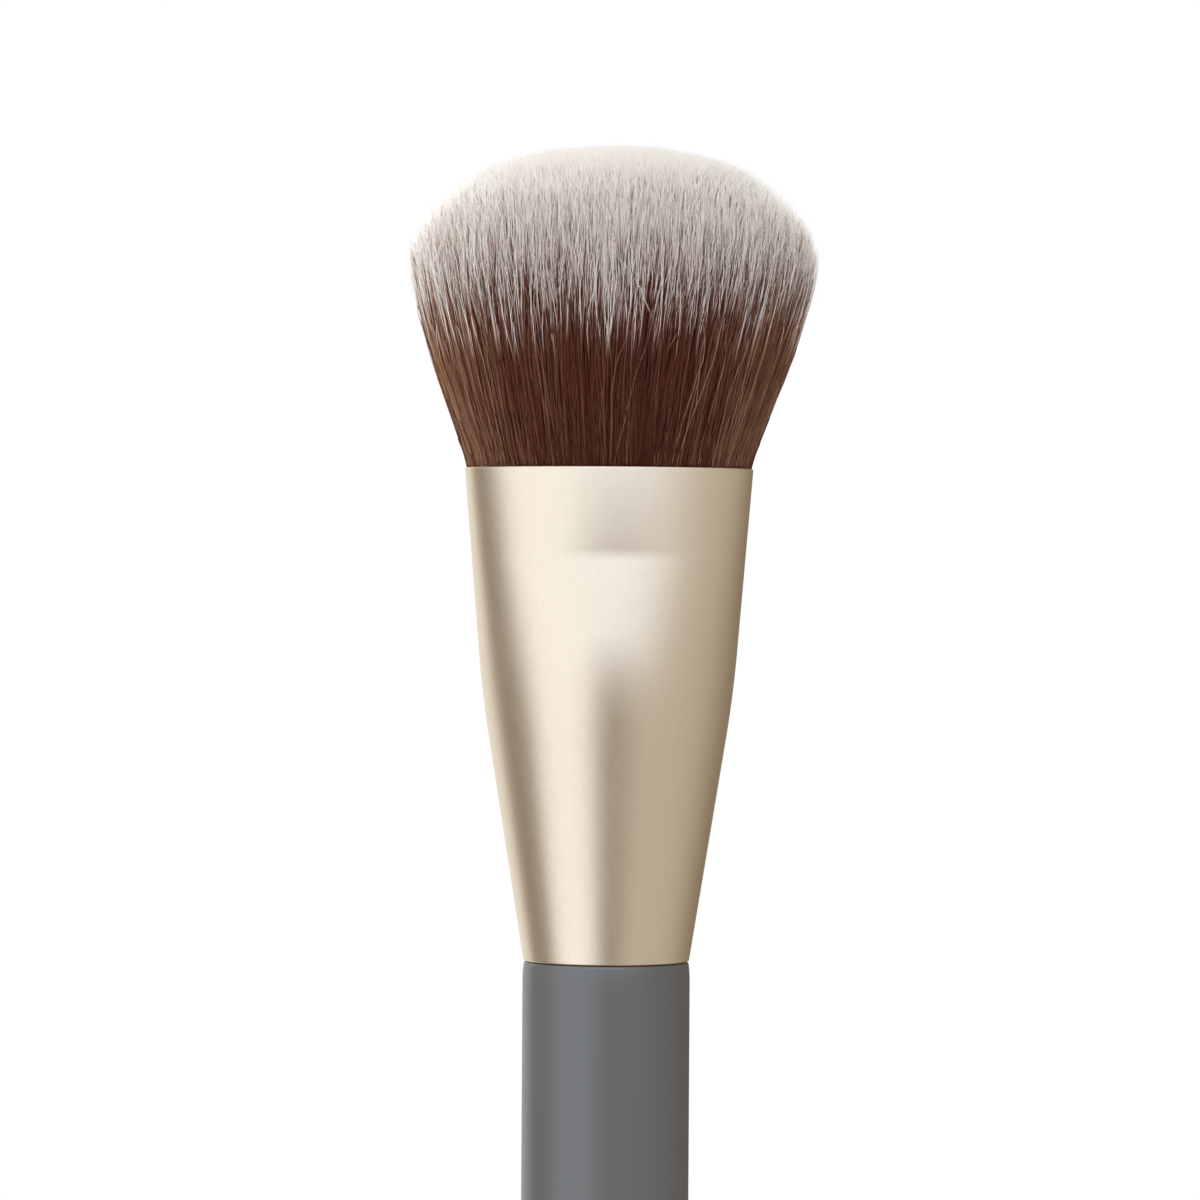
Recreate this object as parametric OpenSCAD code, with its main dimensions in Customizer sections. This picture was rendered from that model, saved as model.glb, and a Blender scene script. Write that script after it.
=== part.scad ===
// Blending brush: a turned handle, a drawn ferrule pressed to an oval mouth, and a domed tuft of bristles.
// The origin is the middle of the handle's flat end. +Z runs up the brush and X across its wide side.

/* [Handle] */
// Diameter of the handle
handle_dia = 12; // [9:0.5:15]
// Length of the handle below the ferrule
handle_len = 102; // [60:1:160]
// Rounding of the handle's free end
handle_end_r = 1.5; // [0.5:0.1:3]
// Rounding of the handle's edge at the ferrule
handle_shoulder_r = 0.3; // [0.1:0.05:0.4]
// Length of the tenon that goes into the ferrule
tenon_len = 14; // [8:0.5:15]
// Depth of the glue grooves round the tenon
groove_depth = 0.4; // [0.1:0.05:0.8]

/* [Ferrule] */
// Length of the ferrule
ferrule_len = 35.3; // [30:0.1:45]
// Thickness of the ferrule's wall
ferrule_wall = 0.25; // [0.2:0.05:0.5]
// Height above the handle at which the side of the ferrule bends
knee_height = 19.1; // [17:0.1:21]
// Diameter of the ferrule at that bend
knee_dia = 18; // [15:0.1:19]
// Width of the ferrule at its mouth
mouth_width = 20.7; // [19:0.1:26]
// Thickness of the ferrule at its mouth
mouth_thick = 14.4; // [12:0.1:15]
// Height above the handle at which the pressed faces bend inwards
face_knee = 20; // [18:0.1:22]
// Thickness at the crease under the pressed band
crease_thick = 15.2; // [14.8:0.1:15.8]
// Height of the pressed band below the rim
band_height = 6.3; // [4:0.1:8]

/* [Bristles] */
// Width of the head at its widest
head_width = 29.1; // [24:0.1:35]
// Thickness of the head at its thickest
head_thick = 20; // [16:0.1:24]
// Height of the widest place above the rim
shoulder_height = 14.1; // [10:0.1:20]
// Height of the dome above the widest place
dome_height = 9.05; // [6:0.05:12]
// Lean of the outermost bristles where they leave the rim, in degrees
lean_out = 20; // [10:1:25]
// Lean of the outermost bristles back in at their tips, in degrees
tuck_in = 25; // [5:1:30]
// Length of the bristles inside the ferrule
bristle_hold = 9.8; // [8:0.1:11]

/* [Root] */
// Height of the bound part at the bristles' roots
root_height = 2; // [1:0.1:3]
// Thickness of the binding thread's winding
thread_thick = 0.5; // [0.3:0.05:0.7]
// Gap between the bound part and the ferrule
root_gap = 1.3; // [1:0.05:1.5]

/* [Hidden] */

// Facets of the turned pieces, and of a quarter turn in their outlines
turned_facets = 96;
corner_facets = 3;
// Sides of the ferrule's section, and rings along its pressed part, its crease and its band
section_sides = 56;
press_rings = 11;
crease_rings = 3;
band_rings = 3;
// Clearance between a resin filling and what it fills
bond_gap = 0.04;
// Clearance between the thread and the root that it binds
thread_gap = 0.05;
// Clearance between the packed bristles and the ferrule's wall
pack_gap = 0.08;
// How far the ferrule's edge lies inside the handle's edge
edge_step = 0.07;
// Clearance between the tenon and the ferrule's lower opening
tenon_gap = 0.13;
// Width of a glue groove, and the number of them
groove_width = 1;
groove_count = 3;
// Chamfer at the tenon's end
tenon_chamfer = 0.8;
// Height of the glue above the tenon's end
glue_cover = 1;
// Half the height of the bend in the ferrule's sides, of the bend in its faces and of the crease
side_bend = 3.1;
face_bend = 3.6;
crease_bend = 0.45;
// How far the slopes of the faces and of the band lie above and below their means, so that both swell
face_swell_slope = 0.045;
band_swell_slope = 0.06;
// Share of the dome's width that the bristle tips reach
tip_reach_share = 0.94;
// Shares of a bristle's height at which its lean out ends and its lean in begins
lean_share = 0.65;
tuck_share = 0.25;
// Rings of bristles' cells round the middle of the tuft
bristle_rings = 11;
// Shares of a bristle's way, from the rim to its tip, at which it has a section
station_shares = [0.3, 0.62, 0.9];
// Shares of its cell that a bristle fills at those sections
fill_shares = [0.9, 0.92, 0.86];

base_r = handle_dia / 2 - edge_step;
knee_r = knee_dia / 2;
tenon_r = base_r - ferrule_wall - tenon_gap;
crease_height = ferrule_len - band_height;
cone_slope = (knee_r - base_r) / knee_height;
rim_z = handle_len + ferrule_len;
root_foot = ferrule_len - bristle_hold;
root_top = root_foot + root_height;
plug_foot = tenon_len + glue_cover;
cone_top = min(knee_height - side_bend, face_knee - face_bend);
lip = ferrule_wall / 3;

function mix(a, b, t) = a + (b - a) * t;

// Way past a bend: none before it, all of it after it, and a smooth start within the bend's reach
function past_bend(x, reach) = x < -reach ? 0 : x > reach ? x : pow(x + reach, 2) / (4 * reach);
// Half a size of the ferrule at a height above the handle: a cone that bends at the knee to reach the mouth
function half_size(h, mouth) =
    let (mouth_slope = (mouth / 2 - knee_r) / (ferrule_len - knee_height))
    base_r + cone_slope * h + (mouth_slope - cone_slope) * past_bend(h - knee_height, side_bend);
// Bends of the pressed faces from their knee up, as [height, reach, slope above the bend]
face_slope = (crease_thick / 2 - base_r - cone_slope * face_knee) / (crease_height - face_knee);
band_slope = (mouth_thick - crease_thick) / 2 / band_height;
face_bends = [
    [face_knee, face_bend, face_slope + face_swell_slope],
    [(face_knee + crease_height) / 2, (crease_height - face_knee) / 2, face_slope - face_swell_slope],
    [crease_height, crease_bend, band_slope + band_swell_slope],
    [crease_height + band_height / 2, band_height / 2, band_slope - band_swell_slope]];
slope_changes = [for (i = [0 : len(face_bends) - 1])
    face_bends[i][2] - (i == 0 ? cone_slope : face_bends[i - 1][2])];
// Distance of the pressed faces from the middle
function half_face(h) =
    base_r + cone_slope * h + slope_changes * [for (bend = face_bends) past_bend(h - bend[0], bend[1])];
// Point of the ferrule's section at a height and an angle, moved in by an inset.
// The press bears on the middle of each face, and its mark fades out towards the sides.
function section_point(h, angle, inset) =
    let (side = half_size(h, mouth_thick),
         deep = mix(side, half_face(h), pow(sin(angle), 4)))
    [(half_size(h, mouth_width) - inset) * cos(angle), (deep - inset) * sin(angle)];
function section_ring(h, inset, z) =
    [for (i = [0 : section_sides - 1])
        let (p = section_point(h, 360 * i / section_sides, inset)) [p.x, p.y, handle_len + z]];

// Heights of the ferrule's rings from its foot to just under its rim
ring_heights = concat(
    [0],
    [for (i = [0 : press_rings - 1]) mix(cone_top, crease_height - crease_bend, i / press_rings)],
    [for (i = [0 : crease_rings - 1]) crease_height + crease_bend * mix(-1, 1, i / (crease_rings - 1))],
    [for (i = [1 : band_rings]) mix(crease_height + crease_bend, ferrule_len - lip, i / band_rings)]);

// Skin over rings of points. A closed one joins its last ring to its first, and an open one is capped.
module loft(rings, closed = false) {
    count = len(rings);
    sides = len(rings[0]);
    skin = [for (i = [0 : closed ? count - 1 : count - 2], j = [0 : sides - 1])
        let (a = i * sides + j,
             b = i * sides + (j + 1) % sides,
             c = ((i + 1) % count) * sides + (j + 1) % sides,
             d = ((i + 1) % count) * sides + j)
        each [[a, d, c], [a, c, b]]];
    caps = closed ? [] : [
        [for (j = [0 : sides - 1]) j],
        [for (j = [0 : sides - 1]) count * sides - 1 - j]];
    polyhedron([for (ring = rings) each ring], concat(skin, caps));
}

// Outline of the tenon grown by a clearance, drawn from its foot up
module tenon_outline(grow) {
    pitch = tenon_len / (groove_count + 1);
    difference() {
        polygon([
            [0, handle_len - handle_shoulder_r],
            [tenon_r + grow, handle_len - handle_shoulder_r],
            [tenon_r + grow, handle_len + tenon_len + grow - tenon_chamfer],
            [tenon_r + grow - tenon_chamfer, handle_len + tenon_len + grow],
            [0, handle_len + tenon_len + grow]]);
        for (i = [1 : groove_count])
            translate([tenon_r - groove_depth + grow, handle_len + i * pitch - groove_width / 2 + grow])
                square([2 * groove_depth, groove_width - 2 * grow]);
    }
}

// Points of a rounded outer corner of the handle's outline, from one angle to another
function rounded_corner(z, r, from, to) =
    [for (i = [0 : corner_facets])
        let (angle = mix(from, to, i / corner_facets))
        [handle_dia / 2 - r + r * cos(angle), z + r * sin(angle)]];

// Turned stick with a rounded free end, a softened upper edge and a grooved tenon
module handle() {
    color("slategray")
        rotate_extrude($fn = turned_facets) {
            polygon(concat(
                [[0, 0]],
                rounded_corner(handle_end_r, handle_end_r, -90, 0),
                rounded_corner(handle_len - handle_shoulder_r, handle_shoulder_r, 0, 90),
                [[0, handle_len]]));
            tenon_outline(0);
        }
}

// Thin drawn tube: a cone below, pressed to an oval above, with a crease under the band at its mouth
module ferrule() {
    color([0.80, 0.73, 0.63])
        loft(concat(
                [for (h = ring_heights) section_ring(h, 0, h)],
                [section_ring(ferrule_len, lip, ferrule_len),
                 section_ring(ferrule_len, ferrule_wall - lip, ferrule_len)],
                [for (i = [len(ring_heights) - 1 : -1 : 0])
                    section_ring(ring_heights[i], ferrule_wall, ring_heights[i])]),
            closed = true);
}

// Number of the first point on a ring of the bristles' lattice, and of any point on it
function ring_start(k) = k == 0 ? 0 : 1 + 3 * k * (k - 1);
function ring_point(k, i) = k == 0 ? 0 : ring_start(k) + i % (6 * k);

// Lattice cells in six sectors. The cells of one kind point out and of the other in,
// and bristles take one kind in every second sector, so that no two share an edge.
function outward_cells(sector) =
    [for (k = [1 : bristle_rings], j = [0 : k - 1])
        [ring_point(k, sector * k + j), ring_point(k, sector * k + j + 1),
         ring_point(k - 1, sector * (k - 1) + j)]];
function inward_cells(sector) =
    [for (k = [2 : bristle_rings], j = [0 : 1 : k - 2])
        [ring_point(k - 1, sector * (k - 1) + j), ring_point(k, sector * k + j + 1),
         ring_point(k - 1, sector * (k - 1) + j + 1)]];
bristle_cells = [for (s = [0 : 2 : 4]) each concat(outward_cells(s), inward_cells(s + 1))];
bare_cells = [for (s = [0 : 2 : 4]) each concat(inward_cells(s), outward_cells(s + 1))];

// Lattice points as [share of the radius, angle]
lattice = concat([[0, 0]],
    [for (k = [1 : bristle_rings], i = [0 : 6 * k - 1]) [k / bristle_rings, 360 * i / (6 * k)]]);

// Outlines of the tuft inside the ferrule, as [height, outline]: bound at its foot, packed to the wall above
tuft_angles = [for (i = [0 : 6 * bristle_rings - 1]) 360 * i / (6 * bristle_rings)];
function tuft_outline(h, inset) = [for (angle = tuft_angles) section_point(h, angle, inset)];
bound_inset = ferrule_wall + root_gap;
packed_foot = root_top + root_gap;
tuft_layers = concat(
    [for (h = [root_foot, root_top]) [h, tuft_outline(root_foot, bound_inset)]],
    [for (h = [packed_foot, crease_height, crease_height + band_height / 2])
        [h, tuft_outline(h, ferrule_wall + pack_gap)]]);

// Place of a lattice point at a share of the way from the rim to its tip, along one smooth curve
function fan_place(spot, t) =
    let (p = section_point(ferrule_len, spot[1], ferrule_wall + pack_gap),
         reach = spot[0] * tip_reach_share,
         out = spot[0] * [cos(spot[1]), sin(spot[1]), 0],
         tip_height = shoulder_height + dome_height * sqrt(1 - reach * reach),
         up = [0, 0, tip_height],
         rim = [spot[0] * p.x, spot[0] * p.y, rim_z],
         tip = [reach * cos(spot[1]) * head_width / 2, reach * sin(spot[1]) * head_thick / 2,
                rim_z + tip_height],
         leaning = rim + lean_share * (up + tip_height * tan(lean_out) * out),
         tucking = tip - tuck_share * (up - tip_height * tan(tuck_in) * out))
    pow(1 - t, 3) * rim + 3 * t * pow(1 - t, 2) * leaning
        + 3 * t * t * (1 - t) * tucking + pow(t, 3) * tip;

// Section of one bristle: its cell at that place, drawn in towards its own middle
function bristle_section(places, fill_share) =
    let (middle = (places[0] + places[1] + places[2]) / 3)
    [for (p = places) mix(middle, p, fill_share)];

// Tuft: three-sided strands that rise from their packed lower part, all in one skin
module bristles() {
    stations = len(station_shares);
    strand_points = [for (cell = bristle_cells) each concat(
        [for (n = [0 : stations - 1])
            each bristle_section([for (v = cell) fan_place(lattice[v], station_shares[n])], fill_shares[n])],
        [let (ends = [for (v = cell) fan_place(lattice[v], 1)]) (ends[0] + ends[1] + ends[2]) / 3])];
    sides = len(tuft_angles);
    layers = len(tuft_layers);
    layer_points = [for (layer = tuft_layers) each [for (p = layer[1]) [p.x, p.y, handle_len + layer[0]]]];
    layer_start = len(lattice);
    strand_start = layer_start + layers * sides;
    strand_size = 3 * stations + 1;
    // Corner of a strand at a station, where station -1 is its cell at the rim
    function corner(strand, station, v) =
        station < 0 ? bristle_cells[strand][v % 3]
                    : strand_start + strand * strand_size + 3 * station + v % 3;
    // Point of the packed part's side, where the layer after the last is the lattice's outer ring
    function side_point(layer, j) =
        (layer < layers ? layer_start + layer * sides : ring_start(bristle_rings)) + j % sides;
    walls = [for (s = [0 : len(bristle_cells) - 1], n = [-1 : stations - 2], v = [0 : 2])
        each [[corner(s, n, v), corner(s, n + 1, v), corner(s, n + 1, v + 1)],
              [corner(s, n, v), corner(s, n + 1, v + 1), corner(s, n, v + 1)]]];
    tips = [for (s = [0 : len(bristle_cells) - 1], v = [0 : 2])
        [corner(s, stations - 1, v),
         strand_start + (s + 1) * strand_size - 1,
         corner(s, stations - 1, v + 1)]];
    top = [for (cell = bare_cells) [cell[2], cell[1], cell[0]]];
    skin = [for (i = [0 : layers - 1], j = [0 : sides - 1])
        each [[side_point(i, j), side_point(i + 1, j), side_point(i + 1, j + 1)],
              [side_point(i, j), side_point(i + 1, j + 1), side_point(i, j + 1)]]];
    underside = [for (j = [1 : sides - 2]) [layer_start, layer_start + j, layer_start + j + 1]];
    color([0.55, 0.42, 0.38])
        polyhedron(concat([for (spot = lattice) fan_place(spot, 0)], layer_points, strand_points),
                   concat(walls, tips, top, skin, underside));
}

// Winding of thread round the bound part, drawn as the closed band that its turns fill
module binding_thread() {
    inner = bound_inset - thread_gap;
    color("wheat")
        translate([0, 0, handle_len + root_foot + root_height / 4])
            linear_extrude(root_height / 2)
                difference() {
                    polygon(tuft_outline(root_foot, inner - thread_thick));
                    polygon(tuft_outline(root_foot, inner));
                }
}

// Set resin between the glue and the tuft
module root_plug() {
    between = [for (h = ring_heights) if (h > plug_foot && h < root_foot) h];
    heights = concat([plug_foot], between, [root_foot]);
    color([0.86, 0.72, 0.42])
        loft([for (h = heights) section_ring(h, ferrule_wall + bond_gap, h)]);
}

// Glue that fills the ferrule's cone round the tenon
module tenon_glue() {
    heights = concat([for (h = ring_heights) if (h < plug_foot) h], [plug_foot]);
    color([0.90, 0.85, 0.60])
        difference() {
            loft([for (h = heights) section_ring(h, ferrule_wall + bond_gap, h)]);
            rotate_extrude($fn = turned_facets)
                tenon_outline(bond_gap);
        }
}

handle();
ferrule();
bristles();
binding_thread();
root_plug();
tenon_glue();
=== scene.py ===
import math
from typing import NamedTuple

import bpy
import numpy as np
from bpy.props import FloatProperty, FloatVectorProperty, IntProperty, PointerProperty
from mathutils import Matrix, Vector
from mathutils.kdtree import KDTree


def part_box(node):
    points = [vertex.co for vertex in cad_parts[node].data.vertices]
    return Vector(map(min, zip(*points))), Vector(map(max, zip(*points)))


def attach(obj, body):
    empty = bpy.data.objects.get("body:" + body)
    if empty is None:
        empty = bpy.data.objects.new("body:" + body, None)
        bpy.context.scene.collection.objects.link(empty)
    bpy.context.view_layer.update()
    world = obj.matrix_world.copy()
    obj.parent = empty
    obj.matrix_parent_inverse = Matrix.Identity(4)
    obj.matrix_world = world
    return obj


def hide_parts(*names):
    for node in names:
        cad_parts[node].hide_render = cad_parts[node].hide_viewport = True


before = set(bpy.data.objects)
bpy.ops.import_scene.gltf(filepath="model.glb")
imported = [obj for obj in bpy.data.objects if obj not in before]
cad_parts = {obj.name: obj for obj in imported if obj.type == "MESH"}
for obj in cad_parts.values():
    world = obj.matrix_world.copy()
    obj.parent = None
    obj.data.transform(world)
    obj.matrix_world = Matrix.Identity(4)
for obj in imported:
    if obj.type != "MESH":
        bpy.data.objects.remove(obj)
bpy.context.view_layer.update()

bl_info = {
    "name": "Blending Brush",
    "version": (1, 0, 0),
    "blender": (4, 5, 0),
    "location": "3D View > Sidebar > Brush",
    "description": "Builds a face brush with a lacquered handle, a satin ferrule and a two-tone tuft",
    "category": "Add Mesh",
}

ROOT = "root"
BAKE_MAP = "OFBake"
GOLDEN_ANGLE = math.pi * (3 - math.sqrt(5))

# Height over which the lacquer ends at the tenon
BARE_EDGE = 0.0002

# Places of the filaments in the noise that streaks them: from one to the next, and up each one
STREAK_STEP = 7.3
STREAK_WAVES = 9.0
TINT_SEED = 0.37

# Corners of the pieces in the frame
_, handle_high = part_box("handle")
ferrule_low, ferrule_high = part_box("ferrule")
bristles_low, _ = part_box("bristles")
thread_low, thread_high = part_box("binding_thread")


def size(name, description, default):
    """A length that a user may change."""
    return FloatProperty(
        name=name, description=description, default=default, min=0.0, subtype="DISTANCE", unit="LENGTH"
    )


def share(name, description, default):
    """A part of a whole, from 0 to 1."""
    return FloatProperty(
        name=name, description=description, default=default, min=0.0, max=1.0, subtype="FACTOR"
    )


def number(name, description, default):
    """A number of things."""
    return IntProperty(name=name, description=description, default=default, min=0)


def amount(name, description, default):
    """A plain number, such as a power or the radiance of a lamp."""
    return FloatProperty(name=name, description=description, default=default, min=0.0)


def angle(name, description, degrees):
    """An angle that a user may change."""
    return FloatProperty(
        name=name, description=description, default=math.radians(degrees), subtype="ANGLE", unit="ROTATION"
    )


def colour(name, description, red, green, blue):
    """A colour that a user may change, in linear light."""
    return FloatVectorProperty(
        name=name, description=description, default=(red, green, blue, 1.0), min=0.0, size=4,
        subtype="COLOR",
    )


class HandleSizes(bpy.types.PropertyGroup):
    """Sizes of the turned handle."""

    end_round: size("End rounding", "Rounding of the free end", 0.0015)
    shoulder_round: size("Shoulder rounding", "Rounding of the edge at the ferrule", 0.0003)
    crown_height: size("Crown height", "Height over which the lacquer thins to the shoulder", 0.0012)
    crown_fall: size("Crown fall", "How much the lacquer thins there", 0.00007)
    tenon_radius: size("Tenon radius", "Radius of the tenon inside the ferrule", 0.00555)
    groove_depth: size("Groove depth", "Depth of the glue grooves round the tenon", 0.0004)
    groove_width: size("Groove width", "Width of a glue groove", 0.001)
    groove_count: number("Grooves", "Glue grooves round the tenon", 3)
    chamfer: size("Tenon chamfer", "Chamfer at the tenon's end", 0.0008)


class FerruleSizes(bpy.types.PropertyGroup):
    """Sizes of the drawn and pressed tube."""

    wall: size("Wall", "Thickness of the sheet", 0.00025)
    foot_radius: size("Foot radius", "Radius at the handle", 0.00593)
    knee_height: size("Knee height", "Height at which the sides bend", 0.0191)
    knee_width: size("Knee width", "Diameter at the bend", 0.018)
    mouth_width: size("Mouth width", "Width at the rim", 0.0207)
    mouth_thick: size("Mouth thickness", "Thickness at the rim", 0.0144)
    side_bend: size("Side bend", "Half the height of the bend in the sides", 0.0031)
    face_knee: size("Face knee", "Height at which the pressed faces bend inwards", 0.0200)
    face_bend: size("Face bend", "Half the height of the bend in the faces", 0.0036)
    face_swell: share("Face swell", "How far the faces' slope changes from their knee to the crease", 0.045)
    crease_thick: size("Crease thickness", "Thickness at the crease under the pressed band", 0.0152)
    crease_bend: size("Crease bend", "Half the height of the crease", 0.00045)
    band_height: size("Band height", "Height of the pressed band", 0.0063)
    band_swell: share("Band swell", "How far the band's slope changes from the crease to the rim", 0.06)
    foot_round: size("Foot rounding", "Rounding of the outer edge at the foot", 0.00012)


class BristleSizes(bpy.types.PropertyGroup):
    """Sizes of the tuft and of its filaments."""

    count: number("Filaments", "Filaments in the tuft", 66000)
    clumps: number("Clumps", "Clumps that the filaments draw into", 9000)
    strays: number("Strays", "Filaments that stand off the tuft", 320)
    tilt: share("Tilt", "Scatter of the filaments' places at their tips, of the tuft's half width", 0.024)
    bow: share("Bow", "Scatter of the filaments' places half way up, of the tuft's half width", 0.020)
    curl: share("Curl", "Size of each filament's own wave, of the tuft's half width", 0.006)
    looseness: amount("Looseness", "How much more the outermost filaments tilt", 0.6)
    pull: share("Pull", "Most that a filament is drawn into its clump", 0.42)
    # Light brown filaments in the middle are partly the fibres' own tone and partly painted highlights of
    # single filaments
    lightest: share("Lightest", "Lightness of the lightest brown filaments in the middle of the tuft", 0.4)
    rareness: amount("Rareness", "How rare light brown is in the middle of the tuft", 4.0)
    # Light brown at the sides is painted glow of the backlit edges
    side_glow_rareness: amount("Rareness at sides", "How rare light brown is at the sides", 0.95)
    streaks: share("Streaks", "How much the brown changes along a filament", 0.16)
    thick: size("Filament", "Diameter of a filament at its thickest", 0.000060)
    edge_point: share("Edge point", "How much an outer filament thins before its tip", 0.50)
    core_point: share("Core point", "How much an inner filament thins before its tip", 0.25)
    edge_fray: size("Edge fray", "Scatter of the outer filaments' tips", 0.00016)
    core_fray: size("Core fray", "Scatter of the inner filaments' tips", 0.00025)
    head_width: size("Head width", "Width of the head at its widest", 0.0297)
    head_thick: size("Head thickness", "Thickness of the head at its thickest", 0.020)
    aside: size("Aside", "How far the head leans to the right", 0.00026)
    shoulder_height: size("Shoulder height", "Height of the widest place above the rim", 0.0145)
    dome_height: size("Dome height", "Height of the dome above the widest place", 0.00865)
    dome_power: amount("Dome power", "Fullness of the dome, 2 for an ellipse", 2.1)
    lean_out: angle("Lean out", "Lean of the outermost filaments at the rim", 18.5)
    tip_lean: angle("Tip lean", "Lean of the outermost filaments at their tips", 7)
    lean: share("Lean share", "Share of the height over which the lean at the rim holds", 0.4)
    tip_share: share("Tip share", "Share of the height over which the lean at the tips holds", 0.3)
    reach: share("Tip reach", "Share of the dome's width that the tips reach", 0.985)
    short: share("Shortening", "Most that a filament at the side of the tuft ends short of the dome", 0.42)
    short_dip: share("Short dip", "Share of that shortening that its pale tip loses too", 0.75)
    dip: size("Dipped length", "Length of the pale tips", 0.0047)
    dip_change: size("Dip change", "Height over which the pale tips turn brown", 0.0032)
    # The tint at the base of the tips is painted warm bounce light from the brown
    bounce_change: size("Clear change", "Height over which the tips lose the tint of their base", 0.00384)
    dip_level: share("Level dip", "How much of the dome's rise the pale tips reach down level", 0.30)
    dip_scatter: size("Dip scatter", "Scatter of the pale tips' length between filaments", 0.0022)
    undipped: share("Undipped", "Share of the outer filaments that stay brown to the tip", 0.22)
    glow: share("Glow", "Share of the light that passes through a filament", 0.45)
    sunk: size("Sunk length", "How far the filaments reach into the packed part", 0.0006)
    pack_clearance: size("Pack clearance", "Gap between the packed part and the ferrule", 0.00008)
    pack_sunk: size("Pack depth", "How far the packed part ends below the rim", 0.0003)
    bind_inset: size("Bind inset", "Inset of the bound roots from the ferrule's outside", 0.00155)
    bind_height: size("Bind height", "Height of the bound roots", 0.002)
    pack_slope: size("Pack slope", "Height over which the tuft widens above the bound roots", 0.0013)


class FinishColours(bpy.types.PropertyGroup):
    """Colours of the finishes."""

    lacquer: colour("Lacquer", "Slate grey lacquer of the handle", 0.066, 0.0690, 0.0705)
    wood: colour("Wood", "Bare wood of the tenon", 0.52, 0.36, 0.21)
    champagne: colour("Champagne", "Anodised sheet of the ferrule", 0.90, 0.785, 0.625)
    brown: colour("Brown", "Filament below its dipped tip", 0.094, 0.0185, 0.0138)
    # Light brown is partly the fibres' own tone, partly painted highlights of single filaments, and at the
    # sides painted glow of the backlit edges
    brown_light: colour("Light brown", "Lightest of the brown filaments", 0.50, 0.295, 0.185)
    brown_glow: colour("Brown glow", "Light that passes through a brown filament", 0.62, 0.36, 0.20)
    tip: colour("Tip", "Dipped end of a filament", 0.95, 0.942, 0.91)
    tip_shade: colour("Shaded tip", "Darkest of the dipped ends", 0.88, 0.81, 0.76)
    # Painted warm bounce light from the brown on the pale tips near their border
    tip_bounce: colour("Tip base", "Dipped end where it meets the brown", 0.85, 0.70, 0.63)
    thread: colour("Thread", "Waxed cotton round the roots", 0.69, 0.57, 0.35)
    resin: colour("Resin", "Set resin under the tuft", 0.71, 0.48, 0.15)
    glue: colour("Glue", "Adhesive round the tenon", 0.79, 0.69, 0.32)
    floor: colour("Floor", "Plain pale floor", 0.86, 0.86, 0.86)


class FinishGrain(bpy.types.PropertyGroup):
    """Grain, relief and roughness of the finishes."""

    lacquer_cloud: size("Lacquer clouds", "Width of the faint clouds in the lacquer", 0.012)
    lacquer_clouding: share("Lacquer clouding", "Strength of those clouds", 0.04)
    lacquer_peel: size("Peel", "Width of the waves that spraying leaves in the lacquer", 0.0007)
    lacquer_relief: size("Peel relief", "Height of those waves", 0.000001)
    lacquer_rough: share("Lacquer roughness", "Roughness of the lacquer", 0.36)
    wood_grain: size("Wood grain", "Width of the grain of the bare wood", 0.0006)
    sheet_line: size("Polishing lines", "Width of the upright lines on the sheet", 0.00014)
    sheet_mottle: size("Mottle", "Width of the mottle of the anodising", 0.00035)
    sheet_cloud: size("Sheet clouds", "Width of the clouds in the anodising", 0.006)
    sheet_relief: size("Sheet relief", "Height of the lines and the mottle", 0.0000025)
    sheet_rough: share("Sheet roughness", "Roughness of the sheet where it is smoothest", 0.31)
    filament_rough: share("Filament roughness", "Roughness of a filament", 0.42)
    twist: size("Twist", "Width of the strands in the thread", 0.00012)
    twist_relief: size("Twist relief", "Height of those strands", 0.00002)
    filling_cloud: size("Filling clouds", "Width of the clouds in the resin and the glue", 0.003)
    bubble: size("Bubbles", "Distance between the bubbles in them", 0.0008)
    bubble_relief: size("Bubble relief", "Height of a bubble at the surface", 0.00003)
    floor_grain: size("Floor grain", "Width of the faint grain of the floor", 0.004)


class StageSizes(bpy.types.PropertyGroup):
    """Camera, floor and lamps."""

    camera_distance: size("Camera distance", "From the brush's axis to the camera", 0.400)
    camera_height: size("Camera height", "Height of the level camera above the handle's top", 0.02585)
    camera_aside: size("Camera aside", "How far the camera stands to the left of the axis", 0.0006)
    camera_roll: angle("Camera roll", "Turn of the camera about its own axis", 0.35)
    field: angle("Field of view", "Angle across the picture", 12.28)
    floor_radius: size("Floor radius", "Radius of the round floor", 0.70)
    floor_plain: size("Plain radius", "Radius inside which the floor keeps its own colour", 0.16)
    floor_white: size("White radius", "Radius past which the camera sees the floor white", 0.56)
    lamp_distance: size("Lamp distance", "From the ferrule's mouth to each lamp", 0.8)
    key_radiance: amount("Key lamp", "Radiance of the lamp above the camera", 4.6)
    back_radiance: amount("Back lamp", "Radiance of the lamp behind", 1.3)
    rim_radiance: amount("Rim lamp", "Radiance of the lamp on the left", 1.7)
    top_radiance: amount("Top lamp", "Radiance of the lamp overhead", 0.7)
    front_light: colour("Front light", "Light of the room in front on matt surfaces", 0.22, 0.215, 0.21)
    back_light: colour("Back light", "Light of the white backdrop on matt surfaces", 0.95, 0.95, 0.95)
    room: colour("Room", "Dim room between the panels", 0.24, 0.185, 0.13)
    fill_panel: colour("Fill panel", "Panel on the right", 0.56, 0.52, 0.46)
    top_panel: colour("Top panel", "Panel above the front", 1.20, 1.30, 1.52)
    key_panel: colour("Key panel", "Panel on the left", 1.15, 1.20, 1.28)
    back_panel: colour("Back panel", "White backdrop on the left", 1.0, 0.98, 0.94)


GROUPS = {
    "brush_handle": HandleSizes,
    "brush_ferrule": FerruleSizes,
    "brush_bristles": BristleSizes,
    "brush_finishes": FinishColours,
    "brush_grain": FinishGrain,
    "brush_stage": StageSizes,
}


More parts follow.
